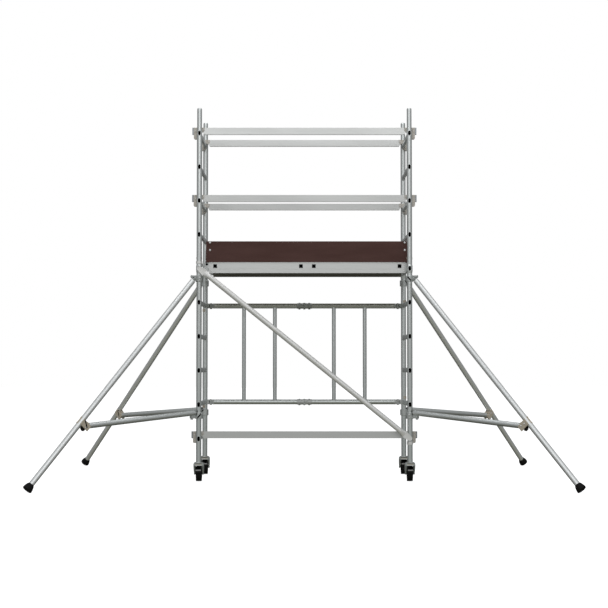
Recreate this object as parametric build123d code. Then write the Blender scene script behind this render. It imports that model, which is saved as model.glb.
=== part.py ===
from build123d import *
import os
from math import atan2, cos, degrees, radians, sin

# Mobile tower scaffold, millimetres. +X to the right along the platform, +Y from the brace side
# to the gate side, +Z up. The origin is on the ground, midway between the four standards.

# ---- end frames ----
HALF_BAY = 867.5            # middle of the tower to the standards' axes, along X
HALF_WIDTH = 375.0          # middle of the tower to the standards' axes, along Y
TUBE_OD = 44.0              # standards, stabiliser legs and arms
TUBE_WALL = 2.0
FOOT_OF_FRAME = 159.0       # lower end of the standards
JOINT = 1785.0              # where the upper frames stand on the lower ones
TOP_OF_FRAME = 2905.0
SPIGOT_R = 19.8
SPIGOT_TOP = 173.0          # spigot standing out above a frame
SPIGOT_BELOW = 85.0         # spigot held inside the frame's own tube
SWAGE_R = 25.0
SWAGE_LENGTH = 76.0
FIRST_RUNG = 350.0
RUNG_PITCH = 280.0
BASE_RUNGS = 6
TOP_RUNGS = 4
RUNG_TALL = 40.0
RUNG_THICK = 24.0
RUNG_WALL = 2.0
RUNG_REACH = 398.5          # middle to the flared rung end, along Y
LIP = 1.5

# ---- rails ----
RAIL_TALL = 57.0
RAIL_THICK = 25.0
RAIL_END = 930.0
RAIL_Y = 335.0
RAIL_ABOVE_RUNG = 23.0      # guardrail centre above the rung centre
BASE_RAIL_ABOVE = 29.6      # and the base rail's
UPPER_RAIL_RUNG = 9
MIDDLE_RAIL_RUNG = 7
CLAW_THICK = 31.0
CLAW_DROP = 67.0            # claw tip below the rail's centre

# ---- diagonal brace ----
BRACE_OD = 43.0
BRACE_Y = -412.0
BRACE_HIGH = FIRST_RUNG + 5 * RUNG_PITCH
BRACE_LOW = FIRST_RUNG
BRACE_SHOULDER = 105.0      # round tube begins, from the standard's axis
BRACE_NECK = 60.0

# ---- folding gate between the rear standards ----
GATE_OD = 44.0
GATE_UPRIGHT_OD = 34.0
GATE_HIGH = 1468.0
GATE_LOW = 630.0
GATE_PIVOT = 817.0          # end pivots, from the middle along X
GATE_UPRIGHTS = (258.0, 528.0)
HINGE_PIN_GAP = 43.0        # centre hinge pin to each fixing pin

# ---- platform ----
DECK_LEFT = -792.0
DECK_RIGHT = 842.0
DECK_HALF = 290.0           # outer faces of the side beams, along Y
BEAM_BOTTOM = 1717.0
DECK_TOP = 1808.0
BOARD = 15.0
CROSS = 35.0                # square cross members
CROSS_Z = 1775.0
CROSS_AT = (-766.0, -53.5, 53.5, 766.0)
HATCH = (150.0, 750.0, -230.0, 230.0)
HATCH_GAP = 1.0
HINGES_X = (270.0, 630.0)
HINGE_Y = 232.0
HINGE_Z = 1812.0
HOOK_LOW = 1742.0
HOOK_EYE = (-810.0, 1790.0, 10.0)    # x, z and radius of the plugged hole in the left hooks
HOOK_SLOT = (-811.0, 1765.0, 4.5)
TOE_TALL = 173.0
TOE_THICK = 18.0
TOE_LEFT = -816.0
TOE_RIGHT = 866.0
TOE_INSET = 5.0             # end boards, in from the ends of the long ones
TOE_BOLTS_Z = (1908.0, 1970.0)

# ---- stabilisers ----
STAB_ANGLE = 41.4           # each stabiliser's plane from the X axis, seen from above
LEG_TILT = 43.6             # leg from the vertical
LOW_COUPLER = 539.0
COUPLER_TALL = 52.0
COUPLER_R = 31.0
PIVOT_R = 45.0              # leg and arm pivots, from the standard's axis
FOOT_R = 37.5
FOOT_REACH = 1607.0         # middle of the foot's sole, from the standard's axis
ARM_Z = 563.0
ARM_END = (1078.0, 487.0)   # reach and height where the arm meets its bracket plate
BRACKET_REACH = 1134.0      # middle of the bracket on the leg
CHEEK_SIZE = (53.0, 86.0)   # along the leg and square to it
CHEEK_CENTRE = (3.5, 38.0)
CHEEK_INSIDE = 21.5         # half the space between the cheeks
CHEEK_THICK = 5.0
STRIP_SIZE = (66.0, 20.0)   # strip along the top of the leg
STRIP_BOLTS = (-24.0, 30.0)
WEB_CENTRE = (1095.0, 491.0)
WEB_DROP = 30.0             # bracket bolt below the horizontal, outwards
WEB_TALL = 62.0
BOLT_BELOW = 8.0            # bracket bolt below the middle of the webs

# ---- castors ----
WHEEL_R = 62.5
WHEEL_WIDE = 46.0
TRAIL = 35.0
STEM_R = 19.8


# ---------------------------------------------------------------- shapes
def along(start, end):
    """Plane at start, facing end."""
    return Plane(origin=start, z_dir=Vector(*end) - Vector(*start))


def prism(face, sketch, length):
    """Sketch laid on a plane and pushed out along the plane's normal."""
    return extrude(face * sketch, amount=length, dir=face.z_dir)


def rod(start, end, radius):
    length = (Vector(*end) - Vector(*start)).length
    return prism(along(start, end), Circle(radius), length)


def tube(start, end, outer, wall):
    length = (Vector(*end) - Vector(*start)).length
    return prism(along(start, end), Circle(outer / 2) - Circle(outer / 2 - wall), length)


def block(x0, x1, y0, y1, z0, z1):
    middle = Pos((x0 + x1) / 2, (y0 + y1) / 2, (z0 + z1) / 2)
    return middle * Box(x1 - x0, y1 - y0, z1 - z0)


def plate_xz(points, y0, y1):
    """Plate between y0 and y1 with an outline of (x, z) points."""
    face = Plane(origin=(0, y1, 0), x_dir=(1, 0, 0), z_dir=(0, -1, 0))
    return prism(face, Polygon(*points, align=None), y1 - y0)


def plate_yz(points, x0, x1):
    """Plate between x0 and x1 with an outline of (y, z) points."""
    face = Plane(origin=(x0, 0, 0), x_dir=(0, 1, 0), z_dir=(1, 0, 0))
    return prism(face, Polygon(*points, align=None), x1 - x0)


def turned(points):
    """Ring or disc about Z with a section of (radius, z) points."""
    return revolve(Plane.XZ * Polygon(*points, align=None), axis=Axis.Z)


def slot_along_y(x, z, tall, thick, y0, y1):
    face = Plane(origin=(x, y0, z), x_dir=(1, 0, 0), z_dir=(0, 1, 0))
    return prism(face, SlotOverall(tall, thick, rotation=90), y1 - y0)


def rung_z(index):
    return FIRST_RUNG + index * RUNG_PITCH


def rung_reach(index):
    """Middle of the frame to a rung's end: longer where the rung passes through the swaged sleeves."""
    return HALF_WIDTH + SWAGE_R + LIP if index == BASE_RUNGS - 1 else RUNG_REACH


def flip_x(pieces):
    return [mirror(piece, about=Plane.YZ) for piece in pieces]


def flip_y(pieces):
    return [mirror(piece, about=Plane.XZ) for piece in pieces]


def placed(location, pieces):
    return [location * piece for piece in pieces]


def save(name, pieces):
    solids = []
    for piece in pieces:
        solids.extend(piece.solids())
    export_step(Compound(solids), f"parts/{name}.step")


# ---------------------------------------------------------------- end frames
def standard(x, y, bottom, top, rungs, swaged):
    """One upright tube, with a hole for each rung and a swaged sleeve at its top if it has a joint."""
    post = tube((x, y, bottom), (x, y, top), TUBE_OD, TUBE_WALL)
    if swaged:
        outer = TUBE_OD / 2
        sleeve = turned([
            (outer - 0.5, top - SWAGE_LENGTH), (outer, top - SWAGE_LENGTH), (SWAGE_R, top - SWAGE_LENGTH + 20),
            (SWAGE_R, top - 16), (outer, top), (outer - 0.5, top),
        ])
        post += Pos(x, y, 0) * sleeve
    for index in rungs:
        post -= slot_along_y(x, rung_z(index), RUNG_TALL, RUNG_THICK, y - SWAGE_R - 1, y + SWAGE_R + 1)
    return post


def spigot(x, y, top, rung):
    """Joint tube pressed into a standard's top, with the last rung passing through it."""
    low, high = top - SPIGOT_BELOW, top + SPIGOT_TOP
    bore = SPIGOT_R - 3
    inner = TUBE_OD / 2 - TUBE_WALL
    section = turned([
        (bore, low), (inner, low), (inner, top), (SPIGOT_R, top), (SPIGOT_R, high - 8),
        (SPIGOT_R - 3, high), (bore - 1.5, high), (bore, high - 8),
    ])
    return Pos(x, y, 0) * section - slot_along_y(x, rung_z(rung), RUNG_TALL, RUNG_THICK, y - 30, y + 30)


def rung(x, z, reach):
    """Flat-oval rung through both standards, its ends flared into a lip."""
    outer = slot_along_y(x, z, RUNG_TALL, RUNG_THICK, -reach, reach)
    for side in (-1, 1):
        ends = sorted((side * (reach - LIP), side * reach))
        outer += slot_along_y(x, z, RUNG_TALL + 3, RUNG_THICK + 3, *ends)
    tall, thick = RUNG_TALL - 2 * RUNG_WALL, RUNG_THICK - 2 * RUNG_WALL
    return outer - slot_along_y(x, z, tall, thick, -reach - 1, reach + 1)


def end_frame(x, bottom, top, rungs, swaged):
    pieces = []
    for y in (-HALF_WIDTH, HALF_WIDTH):
        pieces.append(standard(x, y, bottom, top, rungs, swaged))
        pieces.append(spigot(x, y, top, rungs[-1]))
    for index in rungs:
        pieces.append(rung(x, rung_z(index), rung_reach(index)))
    return pieces


def base_frame(x):
    return end_frame(x, FOOT_OF_FRAME, JOINT, range(BASE_RUNGS), True)


def top_frame(x):
    return end_frame(x, JOINT, TOP_OF_FRAME, range(BASE_RUNGS, BASE_RUNGS + TOP_RUNGS), False)


def lock_clips():
    """Sprung steel clip round the inner face of each frame joint."""
    pieces = []
    low, high, outer = JOINT + 42, JOINT + 56, TUBE_OD / 2
    for x in (-HALF_BAY, HALF_BAY):
        for side in (-1, 1):
            y = side * HALF_WIDTH
            band = rod((x, y, low), (x, y, high), outer + 2) - rod((x, y, low), (x, y, high), outer)
            keep = sorted((y - side * 40, y + side * 4))
            band &= block(x - 40, x + 40, *keep, low, high)
            face = y - side * (outer + 1)
            pieces += [band, rod((x, face - side, low + 7), (x, face - side * 7, low + 7), 5)]
    return pieces


def end_plugs():
    """Black caps in the rung ends, the cross member ends and the left hooks' eyes."""
    front = []
    tall, thick = RUNG_TALL - 2 * RUNG_WALL, RUNG_THICK - 2 * RUNG_WALL
    for index in range(BASE_RUNGS + TOP_RUNGS):
        end = -rung_reach(index)
        for x in (-HALF_BAY, HALF_BAY):
            plug = slot_along_y(x, rung_z(index), tall, thick, end, end + 6)
            front.append(plug + slot_along_y(x, rung_z(index), tall + 3, thick + 3, end - 0.8, end))
    half = CROSS / 2 - 2
    for x in cross_members_x():
        front.append(block(x - half, x + half, -DECK_HALF, -DECK_HALF + 4, CROSS_Z - half, CROSS_Z + half))
    x, z, radius = HOOK_EYE
    front.append(rod((x, -DECK_HALF + 2, z), (x, -DECK_HALF + 9, z), radius))
    return front + flip_y(front)


# ---------------------------------------------------------------- rails and their claws
def rail_z(rung_index):
    """Height of a rail's centre over the rung it hooks on."""
    return rung_z(rung_index) + (RAIL_ABOVE_RUNG if rung_index else BASE_RAIL_ABOVE)


def rail(y, rung_index):
    """Box-section rail, hollow, with its underside cut away over each rung."""
    base = rung_z(rung_index)
    middle = rail_z(rung_index)
    half, thick, wall = RAIL_TALL / 2, RAIL_THICK / 2, 2.0
    bar = block(-RAIL_END, RAIL_END, y - thick, y + thick, middle - half, middle + half)
    bar -= block(-RAIL_END - 1, RAIL_END + 1, y - thick + wall, y + thick - wall,
                 middle - half + wall, middle + half - wall)
    top, bottom = base + RUNG_TALL / 2 + 0.3, middle - half - 1
    for side in (-1, 1):
        notch = [(side * 830, bottom), (side * 843, top), (side * 885, top), (side * 885, bottom)]
        bar -= plate_xz(notch, y - thick - 1, y + thick + 1)
    return bar


def claw(y, rung_index):
    """Cast claw on the right end of a rail: two cheeks that grip the rail and hook over the rung."""
    base = rung_z(rung_index)
    middle = rail_z(rung_index)
    top, low = middle + RAIL_TALL / 2, middle - CLAW_DROP
    under = base + RUNG_TALL / 2 + 0.3
    outline = [
        (828, top), (828, top - 24), (838, top - 36), (855, top - 36), (855, under), (881, under),
        (884, base), (884, low + 6), (889, low), (911, low), (917, low + 8), (917, top),
    ]
    half = CLAW_THICK / 2
    body = plate_xz(outline, y - half, y + half)
    thick, tall = RAIL_THICK / 2, RAIL_TALL / 2
    return body - block(800, 960, y - thick, y + thick, middle - tall, middle + tall + 1)


def latch(y, rung_index):
    """Spring latch that closes the right claw under its rung."""
    base = rung_z(rung_index)
    outline = [(858, base - 24), (884, base - 22), (884, base - 31), (864, base - 32)]
    return plate_xz(outline, y - 5, y + 5)


def claws_and_latches():
    rows = [(RAIL_Y, UPPER_RAIL_RUNG), (RAIL_Y, MIDDLE_RAIL_RUNG), (-RAIL_Y, UPPER_RAIL_RUNG),
            (-RAIL_Y, MIDDLE_RAIL_RUNG), (-RAIL_Y, 0)]
    claws = [claw(y, index) for y, index in rows]
    latches = [latch(y, index) for y, index in rows]
    return claws + flip_x(claws), latches + flip_x(latches)


# ---------------------------------------------------------------- diagonal brace
def spoon(tip_radius, neck_radius):
    """Outline of the tongue: a round tip that widens towards the neck."""
    return make_hull((Pos(5, 0) * Circle(tip_radius) + Pos(48, 0) * Circle(neck_radius)).edges())


def brace_end(end, inward):
    """Solid end of the brace, pressed from the round tube down to a dished tongue with a round tip."""
    tip = Vector(*end)
    across = inward.cross(Vector(0, 1, 0))
    shoulder = Plane(origin=tip + inward * BRACE_SHOULDER, x_dir=across, z_dir=-inward)
    neck = Plane(origin=tip + inward * BRACE_NECK, x_dir=across, z_dir=-inward)
    pressed = loft([shoulder * Circle(BRACE_OD / 2), neck * Ellipse(26, 8)])
    flat_face = Plane(origin=tip - Vector(0, 8, 0), x_dir=inward, z_dir=(0, 1, 0))
    beyond = Pos(BRACE_NECK + 50, 0) * Rectangle(100, 70)
    tongue = prism(flat_face, spoon(19, 27) - beyond, 11)
    dish = prism(flat_face, spoon(13, 20.5) - beyond, 2.4)
    return pressed + (tongue - dish)


def brace_band(x, low, high):
    """Clamp band round a front standard, with a lug that reaches the brace's tongue."""
    outer = TUBE_OD / 2
    y = -HALF_WIDTH
    band = rod((x, y, low), (x, y, high), outer + 4)
    band += block(x - 11, x + 11, BRACE_Y + 3, y - outer, low, high)
    return band - rod((x, y, low), (x, y, high), outer)


def diagonal_brace():
    """Brace tube, its two flattened ends, and the band that holds each end to its standard."""
    high, low = (-HALF_BAY, BRACE_Y, BRACE_HIGH), (HALF_BAY, BRACE_Y, BRACE_LOW)
    run = (Vector(*low) - Vector(*high)).normalized()
    start, finish = Vector(*high) + run * BRACE_SHOULDER, Vector(*low) - run * BRACE_SHOULDER
    body = tube(start, finish, BRACE_OD, TUBE_WALL)
    ends = [brace_end(high, run), brace_end(low, -run)]
    bands = [brace_band(-HALF_BAY, JOINT + 4, JOINT + 24), brace_band(HALF_BAY, 302, 326)]
    return [body] + ends + bands


# ---------------------------------------------------------------- folding gate
def gate_leaf():
    """Right leaf: an upper and a lower bar joined by two uprights."""
    pieces = []
    near, far = 66.0, 786.0
    bars = []
    for z in (GATE_HIGH, GATE_LOW):
        pieces.append(tube((near, HALF_WIDTH, z), (far, HALF_WIDTH, z), GATE_OD, TUBE_WALL))
        bars.append(rod((near, HALF_WIDTH, z), (far, HALF_WIDTH, z), GATE_OD / 2))
    for x in GATE_UPRIGHTS:
        upright = tube((x, HALF_WIDTH, GATE_LOW), (x, HALF_WIDTH, GATE_HIGH), GATE_UPRIGHT_OD, TUBE_WALL)
        pieces.append(upright - bars[0] - bars[1])
    return pieces


def centre_hinge(z):
    """Two cast halves that meet on the hinge pin, each pinned into its own gate bar."""
    halves = []
    for side in (-1, 1):
        sleeve = rod((side * 5, HALF_WIDTH, z), (side * 65, HALF_WIDTH, z), 24)
        spike = rod((side * 60, HALF_WIDTH, z), (side * 100, HALF_WIDTH, z), GATE_OD / 2 - TUBE_WALL)
        eye_z = sorted((z, z + side * 24))
        eye = rod((0, HALF_WIDTH, eye_z[0] + 0.3), (0, HALF_WIDTH, eye_z[1] - 0.3), 17)
        clear = rod((0, HALF_WIDTH, z - side * 30), (0, HALF_WIDTH, z + side * 0.3), 17.6)
        half = sleeve + spike - clear + eye
        for x in (0, side * HINGE_PIN_GAP):
            half -= rod((x, HALF_WIDTH, z - 40), (x, HALF_WIDTH, z + 40), 6)
        halves.append(half)
    return halves


def end_knuckle(z):
    """Right end pivot: fork lug on the standard, and the collared eye on the gate bar between its ears."""
    x, y = HALF_BAY, HALF_WIDTH
    post = rod((x, y, z - 60), (x, y, z + 60), TUBE_OD / 2)
    lug = block(GATE_PIVOT, x - 15, y - 17, y + 17, z - 21, z + 21)
    lug += rod((GATE_PIVOT, y, z - 21), (GATE_PIVOT, y, z + 21), 17)
    lug -= post
    lug -= block(GATE_PIVOT - 20, GATE_PIVOT + 15, y - 20, y + 20, z - 12.3, z + 12.3)
    eye = rod((GATE_PIVOT, y, z - 12), (GATE_PIVOT, y, z + 12), 14)
    eye += block(796, GATE_PIVOT, y - 10, y + 10, z - 12, z + 12)
    eye += rod((786, y, z), (798, y, z), GATE_OD / 2 + 0.5)
    eye += rod((760, y, z), (787, y, z), GATE_OD / 2 - TUBE_WALL)
    bore = rod((GATE_PIVOT, y, z - 40), (GATE_PIVOT, y, z + 40), 6)
    return [lug - bore, eye - bore]


def headed_pin(x, z, reach):
    """Vertical pin with a head on top and a nut below."""
    y = HALF_WIDTH
    pin = rod((x, y, z - reach), (x, y, z + reach), 6)
    pin += rod((x, y, z + reach), (x, y, z + reach + 3), 8)
    return pin + rod((x, y, z - reach - 6), (x, y, z - reach), 9)


def gate_metal():
    hinges, pins = [], []
    for z in (GATE_HIGH, GATE_LOW):
        knuckle = end_knuckle(z)
        hinges += centre_hinge(z) + knuckle + flip_x(knuckle)
        pins += [headed_pin(x, z, 24.5) for x in (-HINGE_PIN_GAP, 0, HINGE_PIN_GAP)]
        pins += [headed_pin(x, z, 21) for x in (-GATE_PIVOT, GATE_PIVOT)]
    return hinges, pins


def gate_clips():
    """Small bent clip round the front of each rear standard, just off the gate bar."""
    pieces = []
    for z in (GATE_HIGH, GATE_LOW):
        for side, shift in ((-1, -39), (1, 39)):
            low = z + shift - 12
            x = side * HALF_BAY
            clip = rod((x, HALF_WIDTH, low), (x, HALF_WIDTH, low + 24), 25)
            clip -= rod((x, HALF_WIDTH, low), (x, HALF_WIDTH, low + 24), TUBE_OD / 2)
            span = sorted((x + side * 26, x - side * 4))
            pieces.append(clip & block(*span, HALF_WIDTH - 30, HALF_WIDTH - 8, low, low + 24))
    return pieces


# ---------------------------------------------------------------- platform
def cross_members_x():
    middle = (DECK_LEFT + DECK_RIGHT) / 2
    return [middle + offset for offset in CROSS_AT]


def side_beam():
    """Front beam: a channel with two grooves in its outer face and a ledge for the deck board."""
    out, low, top = -DECK_HALF, BEAM_BOTTOM, DECK_TOP
    ledge = top - BOARD
    outline = [
        (out, low), (out + 28, low), (out + 28, low + 3), (out + 4, low + 3), (out + 4, ledge - 3),
        (out + 28, ledge - 3), (out + 28, ledge), (out + 4, ledge), (out + 4, top - 3), (out + 25, top - 3),
        (out + 25, top), (out, top), (out, top - 9), (out + 1, top - 10), (out + 1, low + 34),
        (out + 2, low + 33), (out + 2, low + 29), (out, low + 28),
    ]
    return plate_yz(outline, DECK_LEFT, DECK_RIGHT)


def cross_member(x):
    face = Plane(origin=(x, -DECK_HALF - 1, CROSS_Z), x_dir=(1, 0, 0), z_dir=(0, 1, 0))
    section = Rectangle(CROSS, CROSS) - Rectangle(CROSS - 4, CROSS - 4)
    return prism(face, section, 2 * DECK_HALF + 2)


def hatch_ledge():
    """Frame under the hatch opening that the closed trapdoor rests on."""
    x0, x1, y0, y1 = HATCH
    ledge = DECK_TOP - BOARD
    ring = block(x0 - 20, x1 + 20, y0 - 20, y1 + 20, ledge - 6, ledge)
    return ring - block(x0 + 14, x1 - 14, y0 + 14, y1 - 14, ledge - 7, ledge + 1)


def platform_frame():
    beam = side_beam()
    gaps = [block(x - CROSS / 2, x + CROSS / 2, -DECK_HALF - 2, -DECK_HALF + 40,
                  CROSS_Z - CROSS / 2, CROSS_Z + CROSS / 2) for x in cross_members_x()]
    for gap in gaps:
        beam -= gap
    pieces = [beam] + flip_y([beam]) + [cross_member(x) for x in cross_members_x()]
    for x0 in (DECK_LEFT, DECK_RIGHT - 4):
        pieces.append(block(x0, x0 + 4, -DECK_HALF + 4, DECK_HALF - 4, BEAM_BOTTOM + 38, DECK_TOP - BOARD - 3))
    return pieces + [hatch_ledge()]


def deck_boards():
    """Deck board in four lengths round the hatch."""
    x0, x1, y0, y1 = HATCH
    edge, low = DECK_HALF - 25, DECK_TOP - BOARD
    return [
        block(DECK_LEFT, x0, -edge, edge, low, DECK_TOP), block(x1, DECK_RIGHT, -edge, edge, low, DECK_TOP),
        block(x0, x1, -edge, y0, low, DECK_TOP), block(x0, x1, y1, edge, low, DECK_TOP),
    ]


def hook(end, rung_x, y0, y1):
    """Cast hook from the beam's end over a rung; all its features lie on the outward side."""
    out = 1 if rung_x > end else -1
    low, rest = HOOK_LOW, BRACE_HIGH + RUNG_TALL / 2 + 0.4
    inner, outer = rung_x - out * 12.8, rung_x + out * 12.8
    shoulder = (end + inner) / 2
    outline = [
        (end, DECK_TOP - 4), (shoulder, DECK_TOP - 8), (inner, DECK_TOP - 15), (outer + out * 6, DECK_TOP - 18),
        (outer + out * 11, rest + 8), (outer + out * 11, low + 4), (outer + out * 4, low), (outer, low + 6),
        (outer, rest), (shoulder, rest), (shoulder, low - 6), (end, low - 12),
    ]
    return plate_xz(outline, y0, y1)


def platform_hooks():
    left = hook(DECK_LEFT, -HALF_BAY, -DECK_HALF + 1, -DECK_HALF + 29)
    right = hook(DECK_RIGHT, HALF_BAY, -DECK_HALF + 1, -DECK_HALF + 29)
    for x, z, radius in (HOOK_EYE, HOOK_SLOT):
        left -= rod((x, -DECK_HALF, z), (x, -DECK_HALF + 9, z), radius)
    hooks = [left, right]
    return hooks + flip_y(hooks)


def hinge_knuckles(fixed):
    """Barrel lengths of the two trapdoor hinges: the outer ones are fixed, the middle one is the door's."""
    pieces = []
    for x in HINGES_X:
        spans = ((-30, -10.2), (10.2, 30)) if fixed else ((-10, 10),)
        for low, high in spans:
            barrel = rod((x + low, HINGE_Y, HINGE_Z), (x + high, HINGE_Y, HINGE_Z), 4)
            if fixed:
                leaf = block(x + low, x + high, HINGE_Y, HINGE_Y + 28, DECK_TOP, DECK_TOP + 2)
                web = block(x + low, x + high, HINGE_Y, HINGE_Y + 4, DECK_TOP, HINGE_Z)
            else:
                leaf = block(x + low, x + high, HINGE_Y - 36, HINGE_Y - 1, DECK_TOP, DECK_TOP + 2)
                web = block(x + low, x + high, HINGE_Y - 4, HINGE_Y - 1, DECK_TOP, HINGE_Z)
            bore = rod((x - 31, HINGE_Y, HINGE_Z), (x + 31, HINGE_Y, HINGE_Z), 2.5 if fixed else 2.56)
            pieces.append(barrel + leaf + web - bore)
    return pieces


def trapdoor_hinges():
    pins = [rod((x - 32, HINGE_Y, HINGE_Z), (x + 32, HINGE_Y, HINGE_Z), 2.5) for x in HINGES_X]
    return hinge_knuckles(True) + pins


def trapdoor():
    x0, x1, y0, y1 = HATCH
    low = DECK_TOP - BOARD + 0.3
    door = block(x0 + HATCH_GAP, x1 - HATCH_GAP, y0 + HATCH_GAP, y1 - HATCH_GAP, low, DECK_TOP)
    door -= Pos((x0 + x1) / 2, y0 + 60, DECK_TOP) * Box(120, 34, 2 * BOARD + 2)
    return [door] + hinge_knuckles(False)


def toe_boards():
    """Front and rear boards, and the two end boards between them."""
    low, top = DECK_TOP, DECK_TOP + TOE_TALL
    outer, inner = DECK_HALF + 8, DECK_HALF - 10
    front = block(TOE_LEFT, TOE_RIGHT, -outer, -inner, low, top)
    left, right = TOE_LEFT + TOE_INSET, TOE_RIGHT - TOE_INSET
    ends = [block(left, left + TOE_THICK, -inner, inner, low, top),
            block(right - TOE_THICK, right, -inner, inner, low, top)]
    return [front] + flip_y([front]) + ends


def toe_rivets():
    """Round-headed bolts and the inside angle at each corner of the toe boards."""
    pieces = []
    outer, inner = DECK_HALF + 8, DECK_HALF - 10
    for x, turn in ((-784, 1), (834, -1)):
        for z in TOE_BOLTS_Z:
            head = Pos(x, -outer, z) * Rot(X=90) * turned([(0, 0), (9, 0), (8, 2.4), (5, 3.8), (0, 4.4)])
            pieces += [head] + flip_y([head])
        wall = x - turn * 7
        ends = sorted((wall, wall + turn * 30))
        angle = block(*ends, -inner, -inner + 3, DECK_TOP + 20, DECK_TOP + 170)
        post = sorted((wall, wall + turn * 3))
        angle += block(*post, -inner, -inner + 14, DECK_TOP + 20, DECK_TOP + 170)
        pieces += [angle] + flip_y([angle])
    return pieces


# ---------------------------------------------------------------- stabilisers
# Each stabiliser is drawn in its own frame: +X outwards from the standard's axis, +Z up.
def leg_direction():
    return Vector(sin(radians(LEG_TILT)), 0, -cos(radians(LEG_TILT)))


def foot_sole():
    """Middle of the foot's sole, placed so that its inner rim touches the ground."""
    return Vector(FOOT_REACH, 0, FOOT_R * sin(radians(LEG_TILT)))


def leg_line(distance):
    """Point on the leg's axis, measured up from the middle of the sole."""
    return foot_sole() - leg_direction() * distance


def leg_pivot_distance():
    return (FOOT_REACH - PIVOT_R) / sin(radians(LEG_TILT))


def stab_leg():
    top = leg_pivot_distance()
    low = 30.0
    leg = tube(leg_line(low), leg_line(top - 30), TUBE_OD, TUBE_WALL)
    face = Plane(origin=leg_line(top - 31), x_dir=(0, 1, 0), z_dir=-leg_direction())
    cap = prism(face, Circle(TUBE_OD / 2 - TUBE_WALL), 1)
    tongue = prism(face, Rectangle(14, 26), 31)
    pivot = leg_line(top)
    tongue += rod((pivot.X, -7, pivot.Z), (pivot.X, 7, pivot.Z), 13)
    tongue -= rod((pivot.X, -8, pivot.Z), (pivot.X, 8, pivot.Z), 6)
    for bolt in strip_bolts():
        leg -= bolt
    return [leg, cap + tongue]


def stab_foot():
    """Rubber cup on the leg's end, narrowing up to a thin rim."""
    profile = [
        (0, 0), (FOOT_R, 0), (FOOT_R, 10), (36, 20), (33, 32), (29, 43), (25.5, 50), (22.3, 52),
        (22.3, 29.7), (0, 29.7),
    ]
    face = Plane(origin=foot_sole(), x_dir=(0, 1, 0), z_dir=-leg_direction())
    return [face.location * turned(profile)]


def arm_direction():
    return Vector(ARM_END[0] - PIVOT_R, 0, ARM_END[1] - ARM_Z).normalized()


def arm_point(distance):
    return Vector(PIVOT_R, 0, ARM_Z) + arm_direction() * distance


def stab_arm():
    length = (ARM_END[0] - PIVOT_R) / arm_direction().X
    return [tube(arm_point(0), arm_point(length), TUBE_OD, TUBE_WALL)]


def wing_nut(origin, direction):
    """Nut with two flat wings, screwed towards its own base."""
    face = Plane(origin=origin, z_dir=direction)
    nut = prism(face, Circle(6.5), 8)
    wings = prism(face, Rectangle(26, 3.2), 9) - prism(face, Rectangle(16, 5), 3)
    return nut + wings


def split_ring(z, side):
    """Clamp ring round a standard, free to turn on it: a slanted split on one side, its hinge boss opposite."""
    half = COUPLER_TALL / 2
    bore = TUBE_OD / 2 + 0.3
    ring = turned([(bore, z - half), (COUPLER_R - 2, z - half), (COUPLER_R, z - half + 2),
                   (COUPLER_R, z + half - 2), (COUPLER_R - 2, z + half), (bore, z + half)])
    boss = Rot(Z=62 * side) * (Pos(COUPLER_R, 0, z) * Cylinder(7, COUPLER_TALL - 8))
    ring += boss - rod((0, 0, z - half), (0, 0, z + half), COUPLER_R - 1)
    split = Rot(Z=-62 * side) * (Pos(COUPLER_R, 0, z) * Rot(X=42 * side) * Box(30, 12, COUPLER_TALL * 2))
    return ring - split


def top_coupler():
    """Ring, two ears that hold the leg's tongue, the pivot bolt, and the locking bolt above it."""
    z = leg_line(leg_pivot_distance()).Z
    ring = split_ring(z, 1)
    for low, high in ((-16, -7.5), (7.5, 16)):
        ear = block(PIVOT_R - 19, PIVOT_R, low, high, z - 18, z + 18)
        ear += rod((PIVOT_R, low, z), (PIVOT_R, high, z), 18)
        ear -= rod((0, 0, z - 30), (0, 0, z + 30), COUPLER_R - 1.5)
        ring += ear
    ring -= rod((PIVOT_R, -20, z), (PIVOT_R, 20, z), 6)
    bolt = rod((PIVOT_R, -23, z), (PIVOT_R, 23, z), 6)
    for low, high in ((-23, -16), (16, 23)):
        bolt += rod((PIVOT_R, low, z), (PIVOT_R, high, z), 10)
    outline = [(27, z + 19), (65, z + 19), (71, z + 6), (75.5, z + 8), (69, z + 24), (27, z + 24)]
    bracket = plate_xz(outline, -7, 7) - rod((0, 0, z - 30), (0, 0, z + 30), COUPLER_R - 1)
    lock = rod((64, 0, z + 13), (84, 0, z + 13), 4) + wing_nut((76.5, 0, z + 13), (1, 0, 0))
    return [(ring + bracket) - lock, bolt, lock]


def low_coupler():
    """Ring with a shelf under the arm, and the wing bolt that holds the arm down on it."""
    z, half = LOW_COUPLER, COUPLER_TALL / 2
    ring = split_ring(z, -1)
    shelf = block(24, 84, -13, 13, z - half + 4, z - half + 22)
    shelf -= rod((0, 0, z - 40), (0, 0, z + 40), COUPLER_R - 1)
    length = 120.0
    shelf -= rod(arm_point(-10), arm_point(length), TUBE_OD / 2)
    lock = rod((72, 0, z - half - 6), (72, 0, z - half + 12), 5) + wing_nut((72, 0, z - half + 3), (0, 0, -1))
    saddle = block(48, 84, -10, 10, z - half + 18, ARM_Z - 16)
    saddle -= rod(arm_point(-10), arm_point(length), TUBE_OD / 2)
    return [(ring + shelf + saddle) - lock, lock]


def arm_outside():
    length = (ARM_END[0] - PIVOT_R) / arm_direction().X
    return rod(arm_point(0), arm_point(length), TUBE_OD / 2)


def web_plane(shift):
    """Plane square to the bracket bolt, shifted outwards along it from the middle of the two webs."""
    drop = radians(WEB_DROP)
    axis = Vector(cos(drop), 0, -sin(drop))
    centre = Vector(WEB_CENTRE[0], 0, WEB_CENTRE[1])
    return Plane(origin=centre + axis * shift, x_dir=(0, 1, 0), z_dir=axis)


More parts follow.
